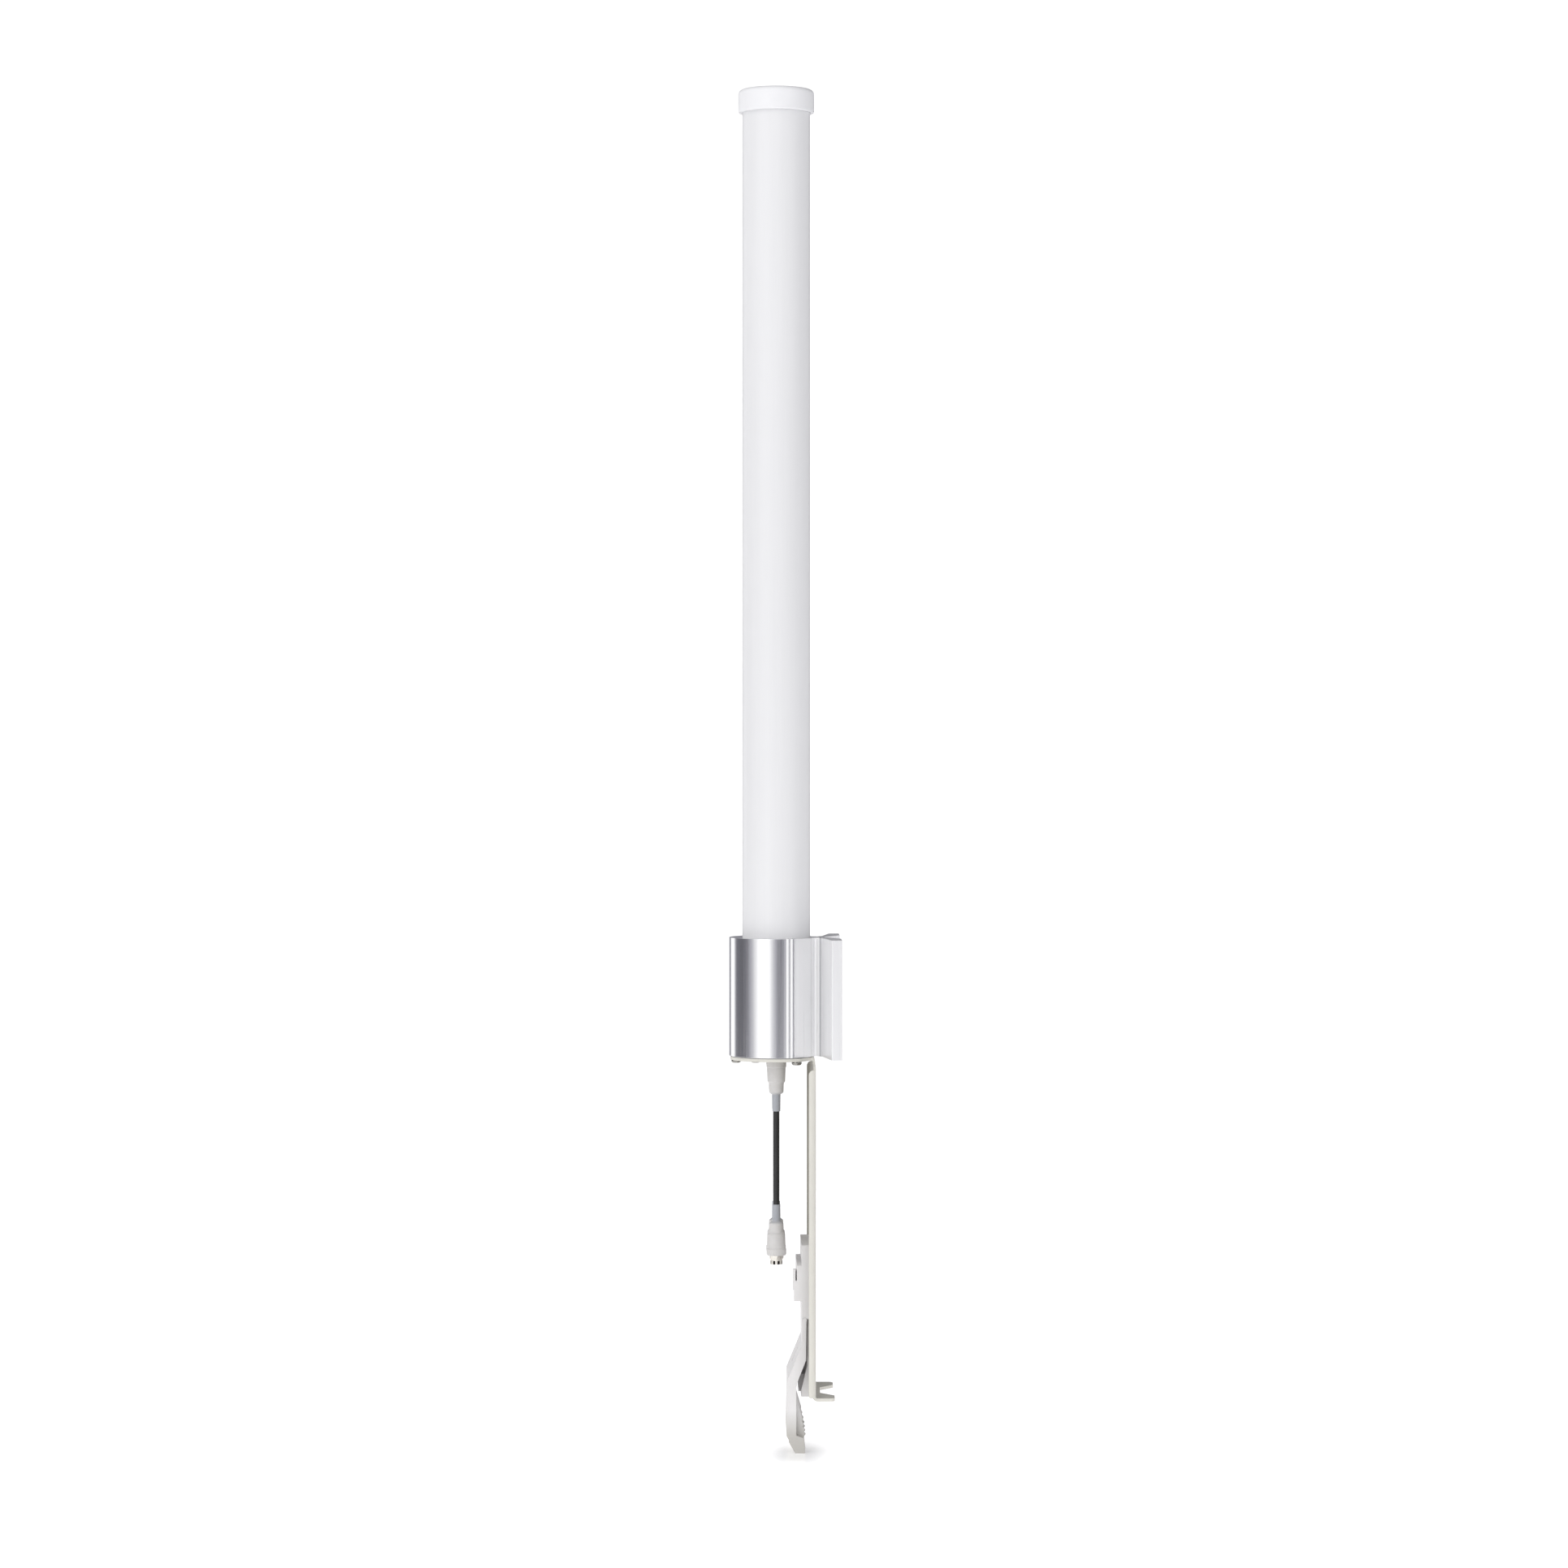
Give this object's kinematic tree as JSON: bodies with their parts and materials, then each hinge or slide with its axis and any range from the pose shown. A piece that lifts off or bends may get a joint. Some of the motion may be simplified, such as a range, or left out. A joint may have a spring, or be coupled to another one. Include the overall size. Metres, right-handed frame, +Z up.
{
  "type": "omnidirectional antenna",
  "caption": "Pole-mount dual-port omnidirectional antenna: white radome tube in an aluminium jaw clamp, with radio bracket, cradle and booted coax pigtails.",
  "frame": {"origin": "middle of the jaw's mast face, half-way up the clamp extrusion", "axes": "+Z up along the radome tube, +X from the tube towards the mast, +Y across the jaw"},
  "size_m": [0.0649, 0.09, 0.7923],
  "materials": {
    "radome": "satin white glass-fibre radome",
    "cap": "satin white moulded plastic",
    "seal_rubber": "matt black rubber",
    "foam": "closed-cell foam",
    "extrusion": "polished extruded aluminium",
    "gasket": "grey rubber sheet",
    "powder_coat": "off-white powder coat on sheet steel",
    "screw_steel": "bright stainless steel",
    "plug_plastic": "white moulded plastic",
    "board": "green glass-epoxy laminate",
    "copper": "tinned copper foil",
    "spine": "mill-finish aluminium",
    "nylon": "natural nylon",
    "coax_jacket": "semi-gloss black jacket",
    "gold": "gold-plated brass",
    "dielectric": "white fluoropolymer",
    "nickel": "bright nickel plate",
    "boot_silicone": "translucent milky silicone rubber",
    "cradle_plastic": "light grey moulded plastic"
  },
  "bodies": {
    "antenna": {"radome_tube": "radome", "top_cap": "cap", "cap_oring": "seal_rubber", "cap_foam_pad": "foam", "clamp_extrusion": "extrusion", "base_gasket": "gasket", "radio_support_bracket": "powder_coat", "base_screws": "screw_steel", "drain_screw": "screw_steel", "base_plug": "plug_plastic", "plug_oring": "seal_rubber", "jack_bodies": "gold", "jack_insulators": "dielectric", "jack_pins": "gold", "jack_nuts": "nickel", "jack_lock_washers": "nickel", "spine_channel": "spine", "spine_foot": "spine", "spine_foot_screws": "screw_steel", "vertical_board": "board", "vertical_dipoles": "copper", "horizontal_board": "board", "horizontal_radiators": "copper", "board_standoffs": "nylon", "foam_spacers": "foam", "feed_coax_a": "coax_jacket", "feed_coax_b": "coax_jacket", "cradle_body": "cradle_plastic", "cradle_screws": "screw_steel", "pigtail_cable_a": "coax_jacket", "upper_plug_a": "nickel", "upper_plug_nut_a": "nickel", "upper_ferrule_a": "nickel", "upper_insulator_a": "dielectric", "upper_socket_a": "gold", "lower_plug_a": "nickel", "lower_ferrule_a": "nickel", "lower_insulator_a": "dielectric", "lower_socket_a": "gold", "pigtail_cable_b": "coax_jacket", "upper_plug_b": "nickel", "upper_plug_nut_b": "nickel", "upper_ferrule_b": "nickel", "upper_insulator_b": "dielectric", "upper_socket_b": "gold", "lower_plug_b": "nickel", "lower_ferrule_b": "nickel", "lower_insulator_b": "dielectric", "lower_socket_b": "gold"},
    "release_arm": {"release_arm": "cradle_plastic"},
    "coupling_nut_a": {"coupling_nut_a": "nickel"},
    "lower_boot_a": {"lower_boot_a": "boot_silicone"},
    "upper_boot_a": {"upper_boot_a": "boot_silicone"},
    "coupling_nut_b": {"coupling_nut_b": "nickel"},
    "lower_boot_b": {"lower_boot_b": "boot_silicone"},
    "upper_boot_b": {"upper_boot_b": "boot_silicone"}
  },
  "joints": [
    {"name": "release_arm_flex", "type": "hinge", "parent": "antenna", "child": "release_arm", "pos_m": [-0.0213, 0, -0.1856], "axis": [0, -1, 0], "range_deg": [-3, 3], "stiffness_Nm_per_rad": 0.6},
    {"name": "coupling_nut_a_spin", "type": "hinge", "parent": "antenna", "child": "coupling_nut_a", "pos_m": [-0.0375, -0.009, -0.1515], "axis": [0, 0, 1], "continuous": true},
    {"name": "lower_boot_a_slide", "type": "slide", "parent": "antenna", "child": "lower_boot_a", "axis": [0, 0, 1], "range_m": [-0.0052, 0.015]},
    {"name": "upper_boot_a_slide", "type": "slide", "parent": "antenna", "child": "upper_boot_a", "axis": [0, 0, 1], "range_m": [-0.015, 0]},
    {"name": "coupling_nut_b_spin", "type": "hinge", "parent": "antenna", "child": "coupling_nut_b", "pos_m": [-0.0375, 0.009, -0.1515], "axis": [0, 0, 1], "continuous": true},
    {"name": "lower_boot_b_slide", "type": "slide", "parent": "antenna", "child": "lower_boot_b", "axis": [0, 0, 1], "range_m": [-0.0052, 0.015]},
    {"name": "upper_boot_b_slide", "type": "slide", "parent": "antenna", "child": "upper_boot_b", "axis": [0, 0, 1], "range_m": [-0.015, 0]}
  ]
}
